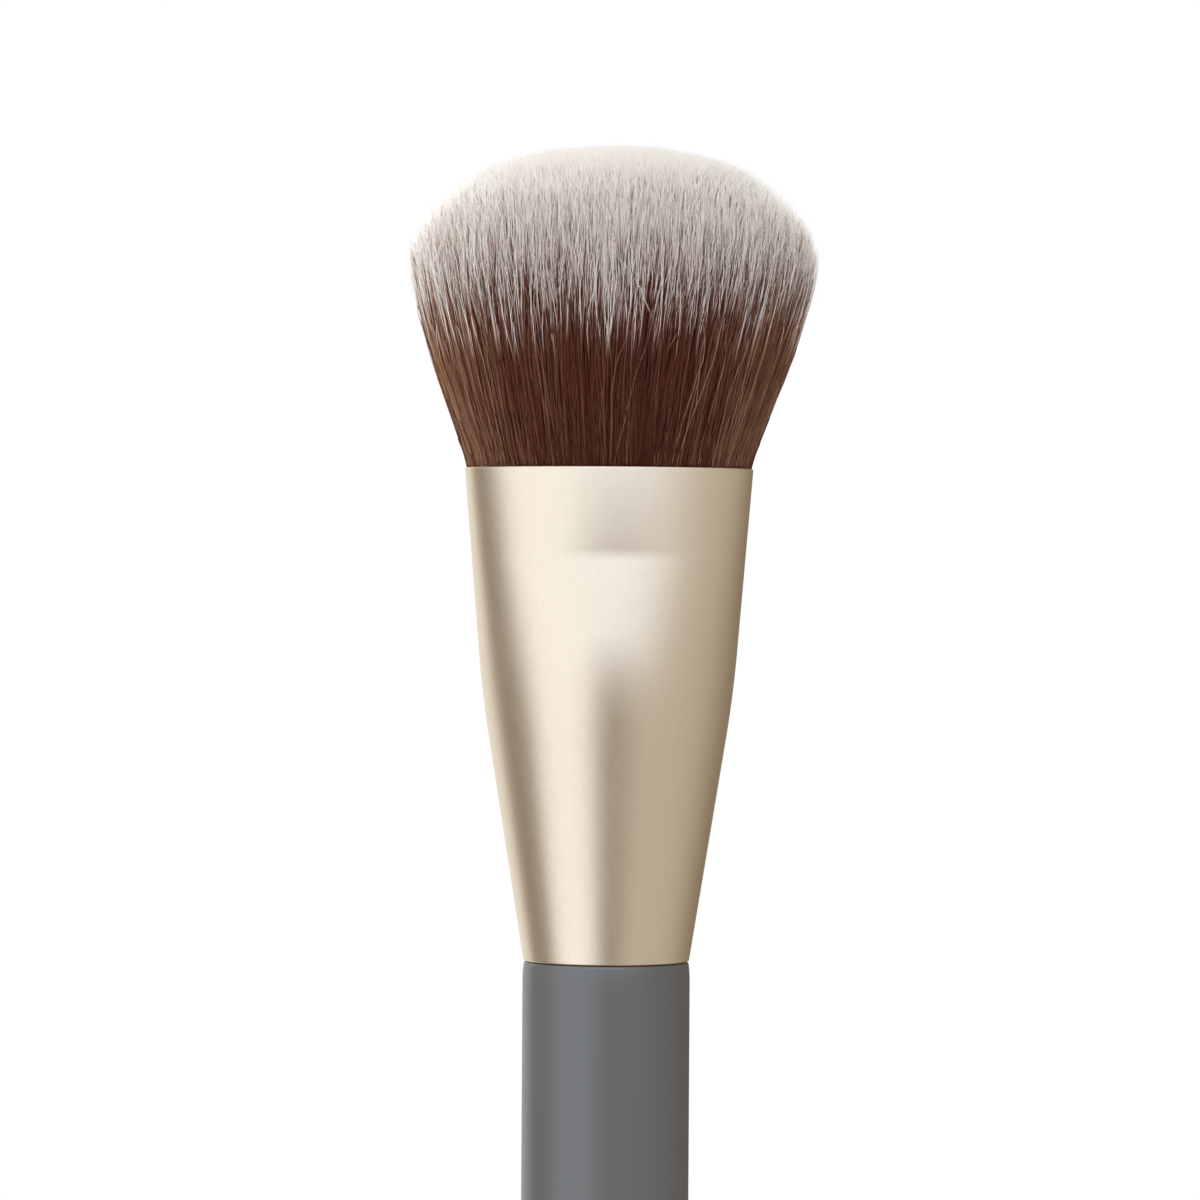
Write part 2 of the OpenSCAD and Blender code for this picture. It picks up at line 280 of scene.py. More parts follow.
class Signal:
    """A number that a shader socket gives. Sums and products of signals become Math nodes."""

    def __init__(self, nodes, socket):
        self.nodes = nodes
        self.socket = socket

    def __add__(self, other):
        return self.nodes.math("ADD", self, other)

    def __radd__(self, other):
        return self.nodes.math("ADD", other, self)

    def __sub__(self, other):
        return self.nodes.math("SUBTRACT", self, other)

    def __rsub__(self, other):
        return self.nodes.math("SUBTRACT", other, self)

    def __mul__(self, other):
        return self.nodes.math("MULTIPLY", self, other)

    def __rmul__(self, other):
        return self.nodes.math("MULTIPLY", other, self)

    def __truediv__(self, other):
        return self.nodes.math("DIVIDE", self, other)

    def __rtruediv__(self, other):
        return self.nodes.math("DIVIDE", other, self)


class Nodes:
    """Adds nodes to one tree."""

    def __init__(self, tree):
        self.tree = tree
        tree.nodes.clear()

    def add(self, kind, settings=None, inputs=None):
        """A node of a type: its settings first, then the values or links of its inputs."""
        node = self.tree.nodes.new(kind)
        for name, value in (settings or {}).items():
            setattr(node, name, value)
        for key, value in (inputs or {}).items():
            if isinstance(value, Signal):
                value = value.socket
            if isinstance(value, bpy.types.NodeSocket):
                self.tree.links.new(value, node.inputs[key])
            else:
                node.inputs[key].default_value = value
        return node

    def math(self, operation, *values):
        """The signal of a Math node."""
        node = self.add("ShaderNodeMath", {"operation": operation}, dict(enumerate(values)))
        return Signal(self, node.outputs[0])

    def steps(self, value, low, high):
        """A signal that goes smoothly from 0 to 1 while a value goes from low to high."""
        node = self.add(
            "ShaderNodeMapRange",
            {"interpolation_type": "SMOOTHSTEP", "clamp": True},
            {"Value": value, "From Min": low, "From Max": high},
        )
        return Signal(self, node.outputs["Result"])

    def blend(self, factor, first, second):
        """The socket of a mix of two colours."""
        node = self.add(
            "ShaderNodeMix", {"data_type": "RGBA"}, {0: factor, 6: first, 7: second}
        )
        return node.outputs[2]

    def mix(self, factor, first, second):
        """The socket of a mix of two shaders."""
        return self.add("ShaderNodeMixShader", {}, {0: factor, 1: first, 2: second}).outputs[0]

    def ray(self, kind):
        """A signal that is 1 for rays of a kind, such as Camera, and 0 for the others."""
        return Signal(self, self.add("ShaderNodeLightPath").outputs[f"Is {kind} Ray"])

    def place(self, rise=1.0):
        """The socket of the point on the object, with its height multiplied by a factor."""
        point = self.add("ShaderNodeTexCoord").outputs["Object"]
        scale = (1.0, 1.0, rise)
        node = self.add("ShaderNodeVectorMath", {"operation": "MULTIPLY"}, {0: point, 1: scale})
        return node.outputs[0]

    def split(self, vector):
        """The three signals of a vector."""
        node = self.add("ShaderNodeSeparateXYZ", {}, {0: vector})
        return [Signal(self, socket) for socket in node.outputs]

    def noise(self, vector, grain, detail=2.0):
        """Smooth noise from 0 to 1, with grains of a size in metres."""
        node = self.add(
            "ShaderNodeTexNoise", {}, {"Vector": vector, "Scale": 1.0 / grain, "Detail": detail}
        )
        return Signal(self, node.outputs["Fac"])

    def chance(self, value):
        """A number from 0 to 1 that is the same wherever a value is the same."""
        node = self.add("ShaderNodeTexWhiteNoise", {"noise_dimensions": "1D"}, {"W": value})
        return Signal(self, node.outputs["Value"])

    def bump(self, height, distance, strength=1.0):
        """The socket of a normal that follows a height, which is worth a distance in metres at 1."""
        node = self.add(
            "ShaderNodeBump", {}, {"Height": height, "Distance": distance, "Strength": strength}
        )
        return node.outputs["Normal"]

    def surface(self, **inputs):
        """A Principled shader, with underscores for the blanks in its sockets' names."""
        named = {key.replace("_", " "): value for key, value in inputs.items()}
        return self.add("ShaderNodeBsdfPrincipled", {}, named).outputs[0]

    def output(self, shader):
        """Ends the material's tree in a shader."""
        self.add("ShaderNodeOutputMaterial", {}, {"Surface": shader})


def new_finish(name):
    """A material and its nodes."""
    material = bpy.data.materials.new(name)
    material.use_nodes = True
    return material, Nodes(material.node_tree)


def darker(tint, kept):
    """A colour of which only a share is kept."""
    return [kept * part for part in tint[:3]] + [1.0]


def paler(tint, white):
    """A colour mixed with a share of white."""
    return [white + (1 - white) * part for part in tint[:3]] + [1.0]


def lacquer_finish(colours, grain):
    """Satin lacquer over turned wood, with the tenon left bare."""
    material, nodes = new_finish("satin_lacquer")
    _, _, height = nodes.split(nodes.place())
    clouding = nodes.noise(nodes.place(), grain.lacquer_cloud)
    peel = nodes.noise(nodes.place(), grain.lacquer_peel, detail=1.0)
    fibres = nodes.noise(nodes.place(rise=0.05), grain.wood_grain, detail=3.0)
    bare = nodes.steps(height, ferrule_low.z, ferrule_low.z + BARE_EDGE)
    pale = paler(colours.lacquer, white=0.12)
    lacquer = nodes.blend(clouding * grain.lacquer_clouding, colours.lacquer, pale)
    wood = nodes.blend(fibres, colours.wood, darker(colours.wood, kept=0.6))
    nodes.output(nodes.surface(
        Base_Color=nodes.blend(bare, lacquer, wood),
        Roughness=grain.lacquer_rough + 0.02 * (peel - 0.5) + 0.25 * bare,
        Specular_IOR_Level=1.0,
        Normal=nodes.bump(peel, grain.lacquer_relief),
    ))
    return material


def anodised_finish(colours, grain):
    """Satin champagne anodising, with the fine upright lines that the polishing wheel leaves."""
    material, nodes = new_finish("champagne_anodising")
    lines = nodes.noise(nodes.place(rise=0.03), grain.sheet_line, detail=3.0)
    mottle = nodes.noise(nodes.place(rise=0.35), grain.sheet_mottle)
    clouding = nodes.noise(nodes.place(), grain.sheet_cloud)
    tone = 0.45 * lines + 0.35 * mottle + 0.20 * clouding
    nodes.output(nodes.surface(
        Base_Color=nodes.blend(tone, colours.champagne, darker(colours.champagne, kept=0.90)),
        Metallic=1.0,
        Roughness=grain.sheet_rough + 0.10 * mottle + 0.06 * (lines - 0.5),
        Normal=nodes.bump(0.6 * lines + 0.4 * mottle, grain.sheet_relief),
    ))
    return material


def filament_finish(colours, grain, sizes):
    """Tapered synthetic filament, brown with a pale dipped tip. Across its map lies the shade of a
    filament, and up its map the way to the tip, of which the map holds the tuft's span."""
    material, nodes = new_finish("dipped_filament")
    across, along, _ = nodes.split(nodes.add("ShaderNodeUVMap", {"uv_map": BAKE_MAP}).outputs[0])
    bucket = nodes.math("FLOOR", across * Tuft.BUCKETS)
    shade = bucket / Tuft.BUCKETS
    tint = nodes.chance(bucket + TINT_SEED)
    place = nodes.add("ShaderNodeCombineXYZ", {}, {"X": bucket * STREAK_STEP, "Y": along * STREAK_WAVES})
    streak = nodes.noise(place.outputs[0], grain=1.0)
    brown = nodes.blend(shade + sizes.streaks * (streak - 0.5), colours.brown, colours.brown_light)
    half_change = sizes.dip_change / 2
    # Near the brown, the pale tips carry a painted warm bounce from the brown that fades out up the tip
    clear = nodes.steps(along, Tuft.below_tip(sizes.dip), Tuft.below_tip(sizes.dip - sizes.bounce_change))
    dipped = nodes.steps(
        along, Tuft.below_tip(sizes.dip + half_change), Tuft.below_tip(sizes.dip - half_change)
    )
    pale = nodes.blend(tint * tint * tint, colours.tip, colours.tip_shade)
    pale = nodes.blend(clear, colours.tip_bounce, pale)
    front = nodes.surface(
        Base_Color=nodes.blend(dipped * dipped, brown, pale),
        Roughness=grain.filament_rough,
        Specular_IOR_Level=0.25,
    )
    brown_lit, pale_lit = [
        nodes.add("ShaderNodeBsdfTranslucent", {}, {"Color": passed}).outputs[0]
        for passed in (colours.brown_glow, colours.tip)
    ]
    nodes.output(nodes.mix(sizes.glow, front, nodes.mix(dipped, brown_lit, pale_lit)))
    return material


def thread_finish(colours, grain):
    """Waxed cotton thread with its twist."""
    material, nodes = new_finish("waxed_cotton")
    twist = nodes.noise(nodes.place(rise=2.0), grain.twist)
    nodes.output(nodes.surface(
        Base_Color=nodes.blend(twist, colours.thread, darker(colours.thread, kept=0.6)),
        Roughness=0.6 + 0.2 * twist,
        Normal=nodes.bump(twist, grain.twist_relief),
    ))
    return material


def filling_finish(name, body, grain):
    """Set resin or adhesive, with faint clouds and small bubbles."""
    material, nodes = new_finish(name)
    clouds = nodes.noise(nodes.place(), grain.filling_cloud, detail=3.0)
    bubbles = nodes.steps(nodes.noise(nodes.place(), grain.bubble, detail=1.0), low=0.66, high=0.74)
    nodes.output(nodes.surface(
        Base_Color=nodes.blend(clouds * 0.5 + bubbles * 0.4, body, paler(body, white=0.35)),
        Roughness=0.22 + 0.2 * clouds,
        Coat_Weight=0.3,
        Normal=nodes.bump(bubbles, grain.bubble_relief),
    ))
    return material


def new_piece(name, points, faces, material, slot=None, nodes=(), uv=None):
    """A smooth mesh object from arrays of points and faces, which rides on the brush."""
    mesh = bpy.data.meshes.new(name)
    corners = faces.shape[1]
    mesh.vertices.add(len(points))
    mesh.vertices.foreach_set("co", points.astype(np.float32).ravel())
    mesh.loops.add(faces.size)
    mesh.loops.foreach_set("vertex_index", faces.astype(np.int32).ravel())
    mesh.polygons.add(len(faces))
    mesh.polygons.foreach_set("loop_start", np.arange(0, faces.size, corners, dtype=np.int32))
    mesh.polygons.foreach_set("use_smooth", np.ones(len(faces), dtype=bool))
    if uv is not None:
        layer = mesh.uv_layers.new(name=BAKE_MAP)
        layer.uv.foreach_set("vector", uv[faces.ravel()].astype(np.float32).ravel())
    mesh.update(calc_edges=True)
    mesh.materials.append(material)
    piece = bpy.data.objects.new(name, mesh)
    bpy.context.scene.collection.objects.link(piece)
    if slot:
        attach(piece, ROOT)
    for node in nodes:
        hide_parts(node)
    return piece


def grid_faces(rings, sides, closed):
    """Four-sided faces between rings of points. A closed grid joins its last ring to its first."""
    ring = np.arange(rings if closed else rings - 1)[:, None]
    side = np.arange(sides)[None, :]
    after_ring, after_side = (ring + 1) % rings, (side + 1) % sides
    return np.stack([
        ring * sides + side, ring * sides + after_side,
        after_ring * sides + after_side, after_ring * sides + side,
    ], -1).reshape(-1, 4)


def turned(profile, sides):
    """Points and faces of a profile of (radius, height) turned about the Z axis, closed at both ends by
    a point on the axis."""
    turn = np.linspace(0, 2 * math.pi, sides, endpoint=False)
    rings = np.array([[(r * math.cos(a), r * math.sin(a), z) for a in turn] for r, z in profile])
    return rings.reshape(-1, 3), grid_faces(len(profile), sides, False)


def arc(centre_r, centre_z, radius, start, end, steps):
    """Points of (radius, height) on an arc between two angles in degrees."""
    angles = np.radians(np.linspace(start, end, steps))
    return [(centre_r + radius * math.cos(a), centre_z + radius * math.sin(a)) for a in angles]


def smooth(values, start=0.0, end=1.0):
    """Goes smoothly from 0 to 1 while the values go from the start to the end."""
    held = np.clip((values - start) / (end - start), 0, 1)
    return held * held * (3 - 2 * held)


def past_bend(x, reach):
    """How far x is past a bend, with a smooth start within the bend's reach."""
    return np.where(x < -reach, 0, np.where(x > reach, x, (x + reach) ** 2 / (4 * reach)))


class FerruleShape:
    """The section of the ferrule at any height above the handle: an oval whose faces are pressed in."""

    def __init__(self, sizes):
        self.sizes = sizes
        self.length = ferrule_high.z - ferrule_low.z
        self.crease = self.length - sizes.band_height
        self.cone_slope = (sizes.knee_width / 2 - sizes.foot_radius) / sizes.knee_height

    def half_size(self, h, mouth, bend):
        """Half a size of a cone that bends at the knee to reach the mouth."""
        s = self.sizes
        mouth_slope = (mouth - s.knee_width) / 2 / (self.length - s.knee_height)
        change = mouth_slope - self.cone_slope
        return s.foot_radius + self.cone_slope * h + change * past_bend(h - s.knee_height, bend)

    def half_face(self, h):
        """Distance of the pressed faces from the middle: bends in turn, each with its height and reach."""
        s = self.sizes
        knee_half = s.foot_radius + self.cone_slope * s.face_knee
        face_height = self.crease - s.face_knee
        face = (s.crease_thick / 2 - knee_half) / face_height
        band = (s.mouth_thick - s.crease_thick) / 2 / s.band_height
        bends = [
            (s.face_knee, s.face_bend, face + s.face_swell),
            (s.face_knee + face_height / 2, face_height / 2, face - s.face_swell),
            (self.crease, s.crease_bend, band + s.band_swell),
            (self.crease + s.band_height / 2, s.band_height / 2, band - s.band_swell),
        ]
        half, slope = s.foot_radius + self.cone_slope * h, self.cone_slope
        for height, reach, next_slope in bends:
            half = half + (next_slope - slope) * past_bend(h - height, reach)
            slope = next_slope
        return half

    def point(self, h, turn, inset):
        """Point of the section, as an array of x and y. The press bears on the middle of each face."""
        s = self.sizes
        wide = self.half_size(h, s.mouth_width, s.side_bend) - inset
        side = self.half_size(h, s.mouth_thick, s.side_bend) - inset
        face = self.half_face(h) - inset
        deep = side + (face - side) * np.sin(turn) ** 4
        return np.stack(np.broadcast_arrays(wide * np.cos(turn), deep * np.sin(turn)), -1)

    def ring(self, h, inset, sides, z):
        """Ring of points of the section, at a height in the frame."""
        turn = np.linspace(0, 2 * math.pi, sides, endpoint=False)
        flat = self.point(np.full(sides, float(h)), turn, inset)
        return np.column_stack([flat, np.full(sides, z)])


def swept(path, radius, sides):
    """Points and faces of a round tube along a path, closed at both ends by rings of no width."""
    along = np.gradient(path, axis=0)
    along /= np.linalg.norm(along, axis=1, keepdims=True)
    path, along = np.pad(path, ((1, 1), (0, 0)), "edge"), np.pad(along, ((1, 1), (0, 0)), "edge")
    side = np.cross(along, (0.0, 0.0, 1.0))
    side /= np.linalg.norm(side, axis=1, keepdims=True)
    up = np.cross(side, along)
    turn = np.linspace(0, 2 * math.pi, sides, endpoint=False)
    radii = np.full(len(path), radius)
    radii[[0, -1]] = 0
    ring = side[:, None] * np.cos(turn)[None, :, None] + up[:, None] * np.sin(turn)[None, :, None]
    points = path[:, None] + radii[:, None, None] * ring
    return points.reshape(-1, 3), grid_faces(len(path), sides, False)


def ripple(points, wavelength, rng, waves=9, longest=0.7, shortest=1.4):
    """Smooth seeded noise at points, about from -1 to 1. Its waves run at shares of the usual rate."""
    ways = rng.normal(size=(waves, points.shape[-1]))
    ways /= np.linalg.norm(ways, axis=1, keepdims=True)
    turns = 2 * math.pi / wavelength * rng.uniform(longest, shortest, waves)
    phases = rng.uniform(0, 2 * math.pi, waves)
    total = np.zeros(points.shape[:-1])
    for way, turn, phase in zip(ways, turns, phases):
        total += np.sin((points @ way) * turn + phase)
    return total / math.sqrt(waves)


def unit_disc(count, rng, jitter):
    """Points spread evenly over a disc of radius 1, from the middle out, with a seeded jitter."""
    order = np.arange(count) + 0.5
    radius = np.sqrt(order / count)
    turn = order * GOLDEN_ANGLE
    places = radius[:, None] * np.stack([np.cos(turn), np.sin(turn)], -1)
    places += rng.normal(0, jitter / math.sqrt(count), places.shape)
    return places / np.maximum(np.linalg.norm(places, axis=1, keepdims=True), 1)


class Tuft:
    """The fan of filaments: where each one runs, and its mesh."""

    # Shades of brown across the map, and the length of filament that its height holds
    BUCKETS = 64
    SPAN = 0.036

    # Edge of the map that stays free, and the height that gives every face an area on it
    MAP_EDGE = 0.01
    MAP_STEP = 0.004

    # How much of its way out of the tuft a filament keeps
    STANDS_OFF = 0.15

    # Distances from the middle, in half widths, past which filaments tilt more or end short, and how
    # rare the shortest ones are
    LOOSE_FROM = 0.93
    SHORT_FROM = 0.62
    SHORT_RARENESS = 1.6

    # Share of the way up at which clumps and drifts are whole, and the half waves of a curl
    WHOLE_AT = 0.75
    CURL_WAVES = 3

    # Wavelength and reach of the drifts that neighbours share, and how much of the way up counts
    DRIFTS = ((0.35, 0.0060), (0.09, 0.0040))
    DRIFT_RISE = 0.6

    # Change of the dipped length from place to place, its wavelength in metres, and its limits
    DIP_DRIFT = 0.25
    DIP_WAVE = 0.007
    DIP_LONGEST = 1.4
    DIP_SHORTEST = 0.75

    # Shares of the dome's height between which the filaments turn pale down to the deepest seen
    CORE_FROM = 0.55
    CORE_TO = 0.85

    def __init__(self, sizes, shape, rng):
        self.sizes = sizes
        self.shape = shape
        self.rng = rng

    @classmethod
    def below_tip(cls, length):
        """Height on the map of a point that lies a length below a filament's tip."""
        return 1 - length / cls.SPAN

    def fan(self, places, t):
        """Points on the fan's curves, for places on the unit disc and shares of the way to the tip."""
        s = self.sizes
        rho = np.linalg.norm(places, axis=-1)
        turn = np.arctan2(places[..., 1], places[..., 0])
        out = np.stack([places[..., 0], places[..., 1], np.zeros_like(rho)], -1)
        mouth = self.shape.point(self.shape.length, turn, self.shape.sizes.wall)
        reach = rho * s.reach
        height = s.shoulder_height + s.dome_height * (1 - reach ** s.dome_power) ** (1 / s.dome_power)
        up = np.stack([np.zeros_like(height), np.zeros_like(height), height], -1)
        rim = np.concatenate([rho[..., None] * mouth, np.full_like(rho, ferrule_high.z)[..., None]], -1)
        tip = np.stack([
            reach * np.cos(turn) * s.head_width / 2 + s.aside,
            reach * np.sin(turn) * s.head_thick / 2,
            ferrule_high.z + height,
        ], -1)
        rim_way = up + height[..., None] * math.tan(s.lean_out) * out
        tip_way = up + height[..., None] * math.tan(s.tip_lean) * out
        leaning, nearing = rim + s.lean * rim_way, tip - s.tip_share * tip_way
        t = np.clip(t, 0, None)[..., None]
        lower = (1 - t) ** 3 * rim + 3 * t * (1 - t) ** 2 * leaning
        return lower + 3 * t * t * (1 - t) * nearing + t ** 3 * tip

    def runs(self, places, stations, wander, draw):
        """Points along each filament from its sunk foot to its tip, as (filaments, stations, 3)."""
        rng, s = self.rng, self.sizes
        rho = np.linalg.norm(places, axis=-1)
        rare = rng.uniform(0, 1, len(places)) ** self.SHORT_RARENESS
        full = 1 - s.short * smooth(rho, self.SHORT_FROM) * rare
        t = np.clip(stations[None, :], 0, None) * full[:, None]
        whole = smooth(t, 0, self.WHOLE_AT)[..., None]
        centres, drawn = draw
        pull = (rng.uniform(0, s.pull, len(places)) * drawn)[:, None, None] * whole
        moving = places[:, None] * (1 - pull) + centres[:, None] * pull
        across = np.broadcast_to(places[:, None], (*t.shape, 2))
        spot = np.concatenate([across, self.DRIFT_RISE * t[..., None]], -1)
        for wavelength, reach in self.DRIFTS:
            drift = np.stack([ripple(spot, wavelength, rng), ripple(spot, wavelength, rng)], -1)
            moving = moving + wander * reach * whole * drift
        loose = (wander * (1 + s.looseness * smooth(rho, self.LOOSE_FROM)))[:, None, None]
        own = rng.normal(0, s.tilt, (len(places), 1, 2)) * loose
        bow = rng.normal(0, s.bow, (len(places), 1, 2)) * loose
        moving = moving + own * t[..., None] + bow * np.sin(math.pi * t)[..., None]
        curl = rng.normal(0, s.curl, (len(places), 1, 2)) * loose * whole
        phase = rng.uniform(0, 2 * math.pi, (len(places), 1))
        moving = moving + curl * np.sin(self.CURL_WAVES * math.pi * t + phase)[..., None]
        far = np.maximum(np.linalg.norm(moving, axis=-1, keepdims=True), 1)
        moving = moving * (1 + self.STANDS_OFF * (far - 1)) / far
        lines = self.fan(moving, t)
        lines[:, 0, 2] -= s.sunk
        return lines, (1 - full) * (s.shoulder_height + s.dome_height)

    def tubes(self, lines, missing, radii, shades):
        """Points, triangles and map of closed three-sided tubes, each drawn to a point at its tip."""
        rng, s = self.rng, self.sizes
        rings = lines[:, :-1]
        count, stations, _ = rings.shape
        along = np.gradient(lines, axis=1)[:, :-1]
        along /= np.linalg.norm(along, axis=-1, keepdims=True)
        side = np.cross(along, (1.0, 0.0, 0.0))
        side /= np.linalg.norm(side, axis=-1, keepdims=True)
        other = np.cross(along, side)
        turn = rng.uniform(0, 2 * math.pi, count)[:, None] + np.arange(3) * 2 * math.pi / 3
        corner = np.cos(turn)[:, None, :, None] * side[:, :, None]
        corner = corner + np.sin(turn)[:, None, :, None] * other[:, :, None]
        skin = rings[:, :, None] + radii[:, :, None, None] * corner
        points = np.concatenate([skin.reshape(count, -1, 3), lines[:, -1:]], 1)
        step = np.linalg.norm(np.diff(lines, axis=1), axis=-1)
        to_tip = np.concatenate([np.cumsum(step[:, ::-1], axis=1)[:, ::-1], np.zeros((count, 1))], 1)
        own = rng.normal(0, 1, count)
        drift = self.DIP_DRIFT * ripple(lines[:, 0, :2], self.DIP_WAVE, rng)
        scatter = s.dip_scatter * (own + drift)
        scatter = np.clip(scatter, -self.DIP_LONGEST * s.dip_scatter, self.DIP_SHORTEST * s.dip)
        rise = np.clip(lines[:, -1, 2] + missing - ferrule_high.z - s.shoulder_height, 0, None)
        scatter += s.short_dip * missing - s.dip_level * rise
        core = smooth(rise / s.dome_height, self.CORE_FROM, self.CORE_TO)
        to_tip /= (1 + core * rise / s.dip)[:, None]
        bare = rng.uniform(0, 1, count) < s.undipped * (1 - rise / s.dome_height)
        scatter += s.dip * bare
        up_map = self.below_tip(to_tip + scatter[:, None])
        up_map = np.clip(up_map, self.MAP_EDGE, 1 - self.MAP_EDGE)
        across = (shades[:, None] + np.arange(1, 4) / 4) / self.BUCKETS
        wall_map = np.stack(np.broadcast_arrays(across[:, None, :], up_map[:, :-1, None]), -1).copy()
        wall_map[:, 0, 1, 1] += self.MAP_STEP
        tip_map = np.stack([across[:, 1], np.minimum(up_map[:, -1] + self.MAP_STEP, 1)], -1)
        uv = np.concatenate([wall_map.reshape(count, -1, 2), tip_map[:, None]], 1)
        faces = []
        for station in range(stations - 1):
            for k in range(3):
                a, b = 3 * station + k, 3 * station + (k + 1) % 3
                faces += [(a, b, b + 3), (a, b + 3, a + 3)]
        last = 3 * (stations - 1)
        faces += [(last + k, last + (k + 1) % 3, last + 3) for k in range(3)]
        faces.append((0, 2, 1))
        starts = np.arange(count) * points.shape[1]
        triangles = starts[:, None, None] + np.array(faces)[None]
        return points.reshape(-1, 3), triangles.reshape(-1, 3), uv.reshape(-1, 2)


def nearest(places, centres):
    """The nearest of the centres to each place."""
    tree = KDTree(len(centres))
    for i, (x, y) in enumerate(centres):
        tree.insert((x, y, 0), i)
    tree.balance()
    return np.array([centres[tree.find((x, y, 0))[1]] for x, y in places])


def made(context, key):
    """A finish that pieces share, made once."""
    colours, grain = context.scene.brush_finishes, context.scene.brush_grain
    makers = {
        "satin_lacquer": lambda: lacquer_finish(colours, grain),
        "champagne_anodising": lambda: anodised_finish(colours, grain),
        "dipped_filament": lambda: filament_finish(colours, grain, context.scene.brush_bristles),
        "waxed_cotton": lambda: thread_finish(colours, grain),
        "set_resin": lambda: filling_finish("set_resin", colours.resin, grain),
        "set_adhesive": lambda: filling_finish("set_adhesive", colours.glue, grain),
    }
    return bpy.data.materials.get(key) or makers[key]()


class BRUSH_OT_handle(bpy.types.Operator):
    """Turns the handle with its grooved tenon"""

    bl_idname = "brush.handle"
    bl_label = "Handle"

    SIDES = 192

    def grooves(self, s, low, high):
        """Profile of the tenon's glue grooves, spread evenly between two heights."""
        floor = s.tenon_radius - s.groove_depth
        profile = []
        for middle in np.linspace(low, high, s.groove_count + 2)[1:-1]:
            start, end = middle - s.groove_width / 2, middle + s.groove_width / 2
            profile += [(s.tenon_radius, start), (floor, start), (floor, end), (s.tenon_radius, end)]
        return profile

    def execute(self, context):
        s = context.scene.brush_handle
        radius, joint, top = handle_high.x, ferrule_low.z, handle_high.z
        crown = joint - s.shoulder_round - s.crown_height
        shoulder = radius - s.crown_fall - s.shoulder_round
        profile = [(0.0, 0.0)]
        profile += arc(radius - s.end_round, s.end_round, s.end_round, -90, 0, steps=14)
        profile += [(radius, z) for z in np.linspace(s.end_round, crown, num=40)[1:-1]]
        for part in np.linspace(0, 1, num=12)[:-1]:
            profile.append((radius - s.crown_fall * part ** 2, crown + part * s.crown_height))
        profile += arc(shoulder, joint - s.shoulder_round, s.shoulder_round, 0, 90, steps=10)
        profile.append((s.tenon_radius, joint))
        profile += self.grooves(s, joint, top)
        profile += [(s.tenon_radius, top - s.chamfer), (s.tenon_radius - s.chamfer, top), (0.0, top)]
        points, faces = turned(profile, self.SIDES)
        lacquer = made(context, "satin_lacquer")
        new_piece("handle_turned", points, faces, lacquer, "handle_lacquer", ["handle"])
        return {"FINISHED"}


class BRUSH_OT_ferrule(bpy.types.Operator):
    """Draws and presses the ferrule"""

    bl_idname = "brush.ferrule"
    bl_label = "Ferrule"

    SIDES = 256

    def execute(self, context):
        s = context.scene.brush_ferrule
        shape = FerruleShape(s)
        foot, half = ferrule_low.z, s.wall / 2
        rim = shape.length - half
        cone_top = min(s.knee_height - s.side_bend, s.face_knee - s.face_bend)
        bend_low, bend_high = shape.crease - s.crease_bend, shape.crease + s.crease_bend
        heights = np.concatenate([
            np.linspace(s.foot_round, cone_top, num=20)[:-1],
            np.linspace(cone_top, bend_low, num=80)[:-1],
            np.linspace(bend_low, bend_high, num=20)[:-1],
            np.linspace(bend_high, rim, num=36),
        ])
        rings = []
        for a in np.radians(np.linspace(90, 0, num=6))[:-1]:
            inset, rise = s.foot_round * (1 - math.cos(a)), s.foot_round * (1 - math.sin(a))
            rings.append(shape.ring(s.foot_round, inset, self.SIDES, foot + rise))
        rings += [shape.ring(h, 0, self.SIDES, foot + h) for h in heights]
        for a in np.radians(np.linspace(0, 180, num=11))[1:-1]:
            inset, rise = half * (1 - math.cos(a)), half * math.sin(a)
            rings.append(shape.ring(rim, inset, self.SIDES, foot + rim + rise))
        rings += [shape.ring(h, s.wall, self.SIDES, foot + h) for h in heights[::-1][::3]]
        rings.append(shape.ring(0, s.wall, self.SIDES, foot))
        faces = grid_faces(len(rings), self.SIDES, True)
        sheet = made(context, "champagne_anodising")
        new_piece("ferrule_tube", np.concatenate(rings), faces, sheet, "ferrule_metal", ["ferrule"])
        return {"FINISHED"}


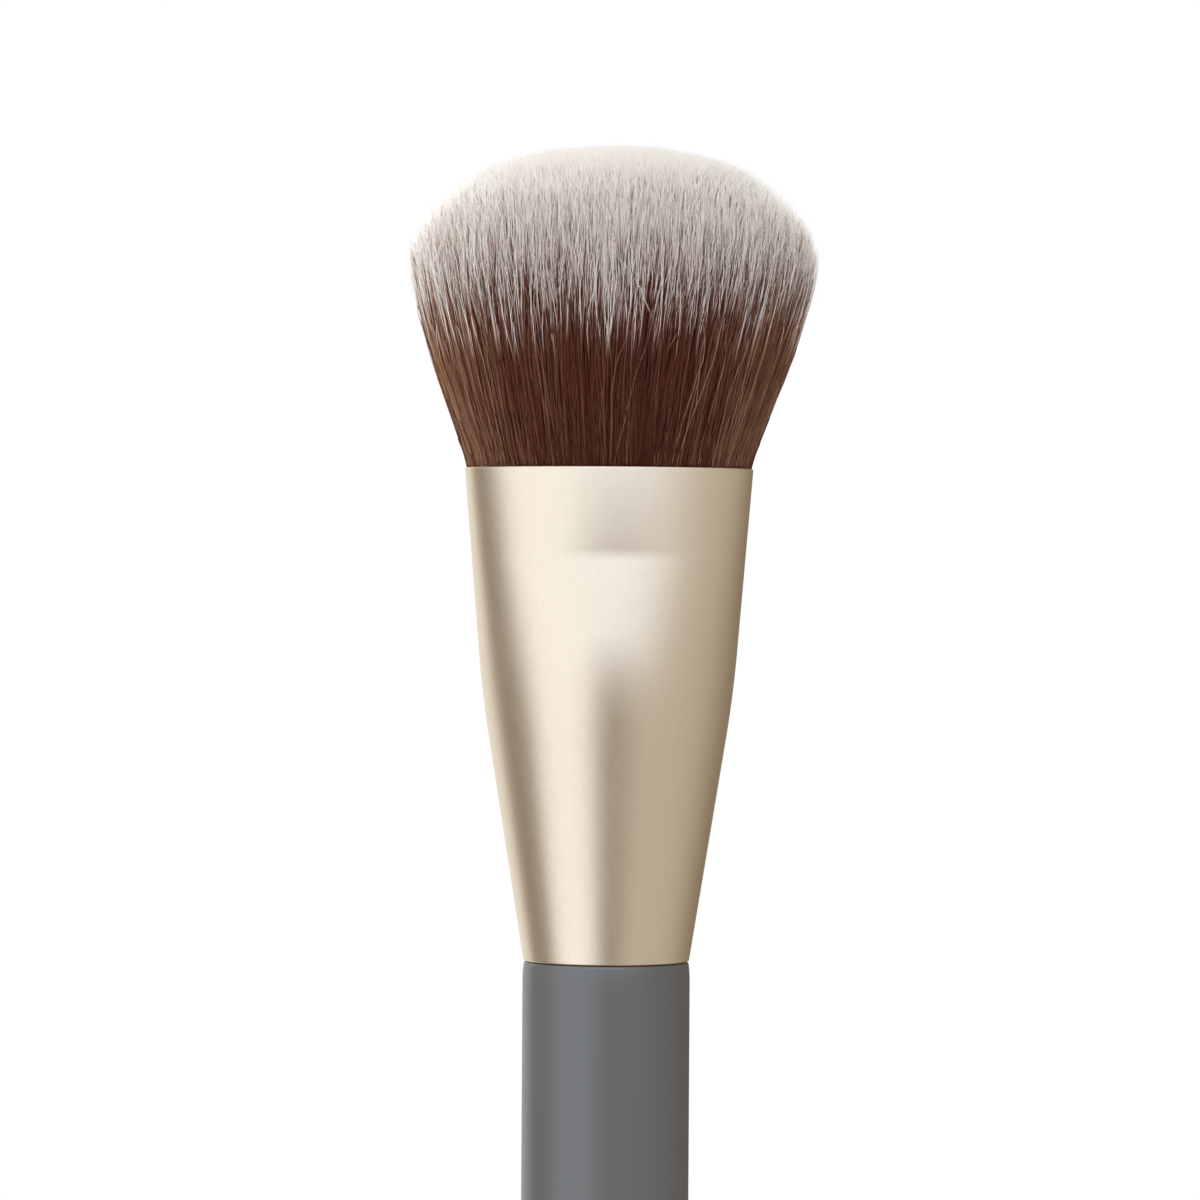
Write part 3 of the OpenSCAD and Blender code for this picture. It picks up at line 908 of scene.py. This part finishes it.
class BRUSH_OT_bristles(bpy.types.Operator):
    """Grows the tuft: its packed roots, its filaments and a few strays"""

    bl_idname = "brush.bristles"
    bl_label = "Bristles"

    # Shares of the way to the tip at which the outer, the inner and the stray filaments have a ring
    EDGE_STATIONS = np.array([-0.05, 0.02, 0.10, 0.20, 0.31, 0.42, 0.53, 0.64, 0.75, 0.86, 0.95, 1.0])
    CORE_STATIONS = np.array([-0.05, 0.25, 0.55, 0.80, 0.95, 1.0])
    STRAY_STATIONS = np.linspace(0, 1, 14)

    # Share of the filaments that are inner ones, and the meshes that hold the inner and the outer
    CORE_SHARE = 2 / 3
    CORE_PIECES = 7
    EDGE_PIECES = 8

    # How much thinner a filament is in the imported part, up to where, and where its point begins
    PACKED_THINNER = 0.22
    PACKED_TO = 0.35
    POINT_FROM = 0.72

    # Thickness of the thinnest and of the thickest filament, as shares of the usual one
    THINNEST, THICKEST = 0.8, 1.15

    # Distances from the middle, in half widths, between which the browns turn light, as painted glow of the
    # backlit left and right edges
    LIGHT_FROM, LIGHT_TO = 0.40, 0.92

    # Wander and thickness of the strays, and their lightness, a light brown that paints highlights and glow
    # on single strands
    STRAY_WANDER = 3.0
    STRAY_THICKER = 1.1
    STRAY_DARKEST, STRAY_LIGHTEST = 0.4, 0.95

    # Distance of the inmost stray from the middle, in half widths, and how they gather at the sides
    STRAY_INMOST = 0.975
    STRAY_GATHER = 0.35

    # How tightly the clumps draw together, its least, its change from place to place, and the
    # wavelength of that change in half widths
    DRAWN, DRAWN_LEAST, DRAWN_CHANGE = 0.65, 0.1, 0.35
    DRAWN_WAVE = 0.22

    # How much of the fray also raises or lowers a tip
    FRAY_RISE = 0.3

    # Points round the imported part, and the shares of its radius at which its flat ends have rings
    ROOT_SIDES = 160
    CAP_SHARES = (0.0, 0.33, 0.66)

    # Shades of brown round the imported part, and the heights on the map between which it lies
    ROOT_SHADES = (0.6, 2.4)
    ROOT_MAP = (0.02, 0.25)

    SEED = 7

    def taper(self, stations, thick, point, rng, count):
        """Radii along each filament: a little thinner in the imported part, and drawn out at the tip."""
        t = np.clip(stations[:-1], 0, None)
        packed = self.PACKED_THINNER * (1 - smooth(t, 0, self.PACKED_TO))
        profile = (1 - packed) * (1 - point * smooth(t, self.POINT_FROM))
        return thick / 2 * profile[None] * rng.uniform(self.THINNEST, self.THICKEST, count)[:, None]

    def shades(self, places, s, rng):
        """The bucket of each filament's brown: dark for most, and light for more of those at the sides,
        where light brown paints the glow of the backlit edges.
        """
        # Painted glow: light brown grows more common towards the left and right edges
        side = smooth(np.abs(places[:, 0]), self.LIGHT_FROM, self.LIGHT_TO)
        most = s.lightest + (1 - s.lightest) * side
        rareness = s.rareness + (s.side_glow_rareness - s.rareness) * side
        light = most * rng.uniform(0, 1, len(places)) ** rareness
        return np.minimum(light * Tuft.BUCKETS, Tuft.BUCKETS - 1).astype(int)

    def add(self, name, points, faces, material, uv):
        """A mesh of bristles."""
        new_piece(name, points, faces, material, "bristle_filament", ["bristles"], uv)

    def roots(self, s, shape, material):
        """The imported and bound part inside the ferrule."""
        foot = ferrule_low.z
        low = bristles_low.z - foot
        bound = low + s.bind_height
        packed = bound + s.pack_slope
        clear = shape.sizes.wall + s.pack_clearance
        rings = [shape.ring(low, s.bind_inset, self.ROOT_SIDES, foot + h) for h in (low, bound)]
        middle = shape.length - shape.sizes.band_height / 2
        for h in (packed, shape.crease, middle, shape.length - s.pack_sunk):
            rings.append(shape.ring(h, clear, self.ROOT_SIDES, foot + h))
        caps = []
        for ring in (rings[0], rings[-1]):
            centre = ring.mean(0)
            caps.append([centre + (ring - centre) * part for part in self.CAP_SHARES])
        rings = caps[0] + rings + caps[1][::-1]
        uv = np.column_stack([
            np.tile(np.linspace(*self.ROOT_SHADES, self.ROOT_SIDES), len(rings)) / Tuft.BUCKETS,
            np.repeat(np.linspace(*self.ROOT_MAP, len(rings)), self.ROOT_SIDES),
        ])
        faces = grid_faces(len(rings), self.ROOT_SIDES, False)
        self.add("bristle_roots", np.concatenate(rings), faces, material, uv)

    def filaments(self, tuft, s, rng, material):
        """The filaments, the inner ones with fewer rings because only their tips show."""
        places = unit_disc(s.count, rng, jitter=0.35)
        centres = nearest(places, unit_disc(s.clumps, rng, jitter=0.6))
        change = self.DRAWN_CHANGE * ripple(places, self.DRAWN_WAVE, rng)
        drawn = np.clip(self.DRAWN + change, self.DRAWN_LEAST, 1)
        shades = self.shades(places, s, rng)
        core = int(s.count * self.CORE_SHARE)
        cores = np.array_split(np.arange(core), self.CORE_PIECES)
        edges = np.array_split(np.arange(core, s.count), self.EDGE_PIECES)
        groups = [(block, self.CORE_STATIONS, s.core_point, s.core_fray) for block in cores]
        groups += [(block, self.EDGE_STATIONS, s.edge_point, s.edge_fray) for block in edges]
        for order, (block, stations, point, fray) in enumerate(groups, 1):
            lines, missing = tuft.runs(places[block], stations, 1.0, (centres[block], drawn[block]))
            lines[:, -1] += rng.normal(0, fray, (len(block), 3)) * (1, 1, self.FRAY_RISE)
            radii = self.taper(stations, s.thick, point, rng, len(block))
            points, faces, uv = tuft.tubes(lines, missing, radii, shades[block])
            self.add(f"bristles_{order}", points, faces, material, uv)

    def strays(self, tuft, s, rng, material):
        """Filaments that stand off the tuft, more of them at its sides."""
        turn = rng.uniform(0, 2 * math.pi, s.strays)
        turn -= self.STRAY_GATHER * np.sin(2 * turn)
        out = rng.uniform(self.STRAY_INMOST, 1, s.strays)[:, None]
        places = out * np.stack([np.cos(turn), np.sin(turn)], -1)
        own_way = (places, np.zeros(s.strays))
        lines, missing = tuft.runs(places, self.STRAY_STATIONS, self.STRAY_WANDER, own_way)
        thick = s.thick * self.STRAY_THICKER
        radii = self.taper(self.STRAY_STATIONS, thick, s.edge_point, rng, s.strays)
        # Every stray is light brown: painted highlights and glow on single strands
        light = rng.uniform(self.STRAY_DARKEST, self.STRAY_LIGHTEST, s.strays)
        points, faces, uv = tuft.tubes(lines, missing, radii, (Tuft.BUCKETS * light).astype(int))
        self.add("bristle_strays", points, faces, material, uv)

    def execute(self, context):
        s = context.scene.brush_bristles
        rng = np.random.default_rng(self.SEED)
        shape = FerruleShape(context.scene.brush_ferrule)
        tuft = Tuft(s, shape, rng)
        material = made(context, "dipped_filament")
        self.roots(s, shape, material)
        self.filaments(tuft, s, rng, material)
        self.strays(tuft, s, rng, material)
        return {"FINISHED"}


class BRUSH_OT_fillings(bpy.types.Operator):
    """Winds the binding thread and finishes the resin and the glue inside the ferrule"""

    bl_idname = "brush.fillings"
    bl_label = "Thread and fillings"

    # Turns of the thread in each of its two layers, and the points of its path and of its section
    TURNS = 4
    TURN_POINTS = 60
    SIDES = 10

    # Gap between the ferrule and the thread, and the share of its room that the thread fills
    OUTER_GAP = 0.0008
    FILLED = 0.96

    def execute(self, context):
        shape = FerruleShape(context.scene.brush_ferrule)
        root = bristles_low.z - ferrule_low.z
        radius = (thread_high.z - thread_low.z) / self.TURNS / 2
        wound = np.arange(2 * self.TURNS * self.TURN_POINTS + 1) / self.TURN_POINTS
        climb = np.minimum(wound, 2 * self.TURNS - wound) / self.TURNS
        inset = shape.sizes.wall + self.OUTER_GAP + radius * (1 + 2 * smooth(self.TURNS - wound))
        flat = np.array([shape.point(root, 2 * math.pi * w, i) for w, i in zip(wound, inset)])
        height = thread_low.z + radius + climb * (thread_high.z - thread_low.z - 2 * radius)
        points, faces = swept(np.column_stack([flat, height]), radius * self.FILLED, self.SIDES)
        cotton = made(context, "waxed_cotton")
        new_piece("binding_thread_wound", points, faces, cotton, "thread", ["binding_thread"])
        for node, finish in (("root_plug", "set_resin"), ("tenon_glue", "set_adhesive")):
            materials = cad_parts[node].data.materials
            materials.clear()
            materials.append(made(context, finish))
        return {"FINISHED"}


class RoomPanel(NamedTuple):
    """A soft panel that shows in reflections: the name of its colour among the stage's sizes, and its
    edges and their softness in degrees. Its azimuth is 0 at the camera and grows to the right."""

    colour: str
    left: float
    right: float
    low: float
    high: float
    soft: float
    right_soft: float


class SoftBox(NamedTuple):
    """A lamp: where it stands round the ferrule's mouth, in degrees, its size in metres, and the name of
    its radiance among the stage's sizes."""

    name: str
    azimuth: float
    elevation: float
    width: float
    height: float
    radiance: str


class BRUSH_OT_stage(bpy.types.Operator):
    """Sets the floor, the lamps, the room and the camera"""

    bl_idname = "brush.stage"
    bl_label = "Stage"

    PANELS = (
        RoomPanel("fill_panel", left=20, right=115, low=-90, high=90, soft=14, right_soft=40),
        RoomPanel("top_panel", left=-92, right=45, low=6, high=100, soft=20, right_soft=30),
        RoomPanel("key_panel", left=-76, right=-14, low=-60, high=100, soft=10, right_soft=10),
        RoomPanel("back_panel", left=-200, right=-127, low=-70, high=80, soft=8, right_soft=8),
    )
    LAMPS = (
        SoftBox("key_lamp", azimuth=-20, elevation=42, width=0.7, height=0.7, radiance="key_radiance"),
        SoftBox("back_lamp", azimuth=-165, elevation=45, width=1.0, height=0.8, radiance="back_radiance"),
        SoftBox("rim_lamp", azimuth=-115, elevation=18, width=0.4, height=0.9, radiance="rim_radiance"),
        SoftBox("top_lamp", azimuth=0, elevation=88, width=0.9, height=0.9, radiance="top_radiance"),
    )

    # The backdrop that lights matt surfaces: its turn to the left, and where it starts and is whole
    BACKDROP_TURN = 0.5
    BACKDROP_FROM, BACKDROP_TO = -0.3, 0.6
    CEILING_FROM, CEILING_TO = 0.2, 1.0

    FLOOR_RINGS = 12
    FLOOR_SIDES = 96
    FLOOR_SPECK = (0.8, 0.8, 0.8, 1.0)
    FLOOR_SPECKING = 0.04
    WHITE = (1.0, 1.0, 1.0, 1.0)

    def floor(self, context):
        """Round pale floor that fades to white towards its edge."""
        scene = context.scene
        s, colours, grain = scene.brush_stage, scene.brush_finishes, scene.brush_grain
        material, nodes = new_finish("floor_plain")
        x, y, _ = nodes.split(nodes.place())
        radius = nodes.math("SQRT", x * x + y * y)
        fade = nodes.steps(radius, s.floor_plain, s.floor_white)
        specks = nodes.noise(nodes.place(), grain.floor_grain)
        tone = nodes.blend(specks * self.FLOOR_SPECKING, colours.floor, self.FLOOR_SPECK)
        pale = nodes.surface(Base_Color=tone, Roughness=0.8)
        white = nodes.add("ShaderNodeEmission", {}, {"Color": self.WHITE}).outputs[0]
        nodes.output(nodes.mix(fade * nodes.ray("Camera"), pale, white))
        radii = np.linspace(0, s.floor_radius, self.FLOOR_RINGS)
        points, faces = turned([(r, 0.0) for r in radii], self.FLOOR_SIDES)
        floor = new_piece("floor_disc", points, faces[:, ::-1], material)
        floor.visible_glossy = False

    def mask(self, nodes, panel, azimuth, elevation):
        """A signal that is 1 inside a panel and falls softly to 0 past its edges."""
        inside = 1.0
        for angle_of, edge, soft in (
            (azimuth, panel.left, panel.soft),
            (azimuth, panel.right, -panel.right_soft),
            (elevation, panel.low, panel.soft),
            (elevation, panel.high, -panel.soft),
        ):
            near, far = math.radians(edge - soft), math.radians(edge + soft)
            inside = inside * nodes.steps(angle_of, near, far)
        return inside

    def room(self, context):
        """White for the camera, a backdrop for matt surfaces, and soft panels for reflections."""
        s = context.scene.brush_stage
        world = context.scene.world or bpy.data.worlds.new("room")
        context.scene.world = world
        world.use_nodes = True
        world.cycles.sampling_method = "NONE"
        nodes = Nodes(world.node_tree)
        x, y, z = nodes.split(nodes.add("ShaderNodeTexCoord").outputs["Generated"])
        azimuth = nodes.math("ARCTAN2", x, 0 - y)
        elevation = nodes.math("ARCSINE", z)
        shine = s.room
        for panel in self.PANELS:
            inside = self.mask(nodes, panel, azimuth, elevation)
            shine = nodes.blend(inside, shine, getattr(s, panel.colour))
        wall = nodes.steps(y - self.BACKDROP_TURN * x, self.BACKDROP_FROM, self.BACKDROP_TO)
        ceiling = nodes.steps(z, self.CEILING_FROM, self.CEILING_TO)
        matt = nodes.blend(nodes.math("MAXIMUM", wall, ceiling), s.front_light, s.back_light)
        light = nodes.blend(nodes.ray("Diffuse"), shine, matt)
        tone = nodes.blend(nodes.ray("Camera"), light, self.WHITE)
        background = nodes.add("ShaderNodeBackground", {}, {"Color": tone})
        nodes.add("ShaderNodeOutputWorld", {}, {"Surface": background.outputs[0]})

    def lamp(self, context, box):
        """Lamp that faces the ferrule's mouth. Neither the camera nor a reflection shows it."""
        s = context.scene.brush_stage
        data = bpy.data.lights.new(box.name, "AREA")
        data.shape = "RECTANGLE"
        data.size, data.size_y = box.width, box.height
        data.energy = getattr(s, box.radiance) * math.pi * box.width * box.height
        lamp = bpy.data.objects.new(box.name, data)
        context.scene.collection.objects.link(lamp)
        a, e = math.radians(box.azimuth), math.radians(box.elevation)
        back = Vector((math.sin(a) * math.cos(e), -math.cos(a) * math.cos(e), math.sin(e)))
        lamp.location = Vector((0, 0, ferrule_high.z)) + s.lamp_distance * back
        lamp.rotation_euler = (-back).to_track_quat("-Z", "Y").to_euler()
        lamp.visible_camera = False
        lamp.visible_glossy = False

    def camera(self, context):
        """Level camera in front of the brush."""
        s = context.scene.brush_stage
        data = bpy.data.cameras.new("camera")
        data.sensor_width = 36
        data.lens = data.sensor_width / 2 / math.tan(s.field / 2)
        data.clip_start = 0.01
        camera = bpy.data.objects.new("camera", data)
        context.scene.collection.objects.link(camera)
        camera.location = (-s.camera_aside, -s.camera_distance, ferrule_low.z + s.camera_height)
        camera.rotation_euler = (math.pi / 2, -s.camera_roll, 0)
        context.scene.camera = camera

    def execute(self, context):
        self.floor(context)
        self.room(context)
        for box in self.LAMPS:
            self.lamp(context, box)
        self.camera(context)
        context.scene.view_settings.view_transform = "Standard"
        return {"FINISHED"}


OPERATORS = [BRUSH_OT_handle, BRUSH_OT_ferrule, BRUSH_OT_bristles, BRUSH_OT_fillings, BRUSH_OT_stage]


class BRUSH_PT_panel(bpy.types.Panel):
    """Lists the brush's pieces in the sidebar"""

    bl_label = "Blending Brush"
    bl_idname = "BRUSH_PT_panel"
    bl_space_type = "VIEW_3D"
    bl_region_type = "UI"
    bl_category = "Brush"

    def draw(self, context):
        for operator in OPERATORS:
            self.layout.operator(operator.bl_idname)
        for name, group in GROUPS.items():
            box = self.layout.box()
            box.label(text=group.bl_rna.name)
            for key in group.__annotations__:
                box.prop(getattr(context.scene, name), key)


def register():
    """Adds the classes and the sizes that a scene holds."""
    for cls in (*GROUPS.values(), *OPERATORS, BRUSH_PT_panel):
        bpy.utils.register_class(cls)
    for name, group in GROUPS.items():
        setattr(bpy.types.Scene, name, PointerProperty(type=group))


def unregister():
    """Takes away what register added."""
    for name in GROUPS:
        delattr(bpy.types.Scene, name)
    for cls in reversed((*GROUPS.values(), *OPERATORS, BRUSH_PT_panel)):
        bpy.utils.unregister_class(cls)


def main():
    """Builds the brush and its stage."""
    register()
    bpy.ops.brush.handle()
    bpy.ops.brush.ferrule()
    bpy.ops.brush.bristles()
    bpy.ops.brush.fillings()
    bpy.ops.brush.stage()


if __name__ == "__main__":
    main()
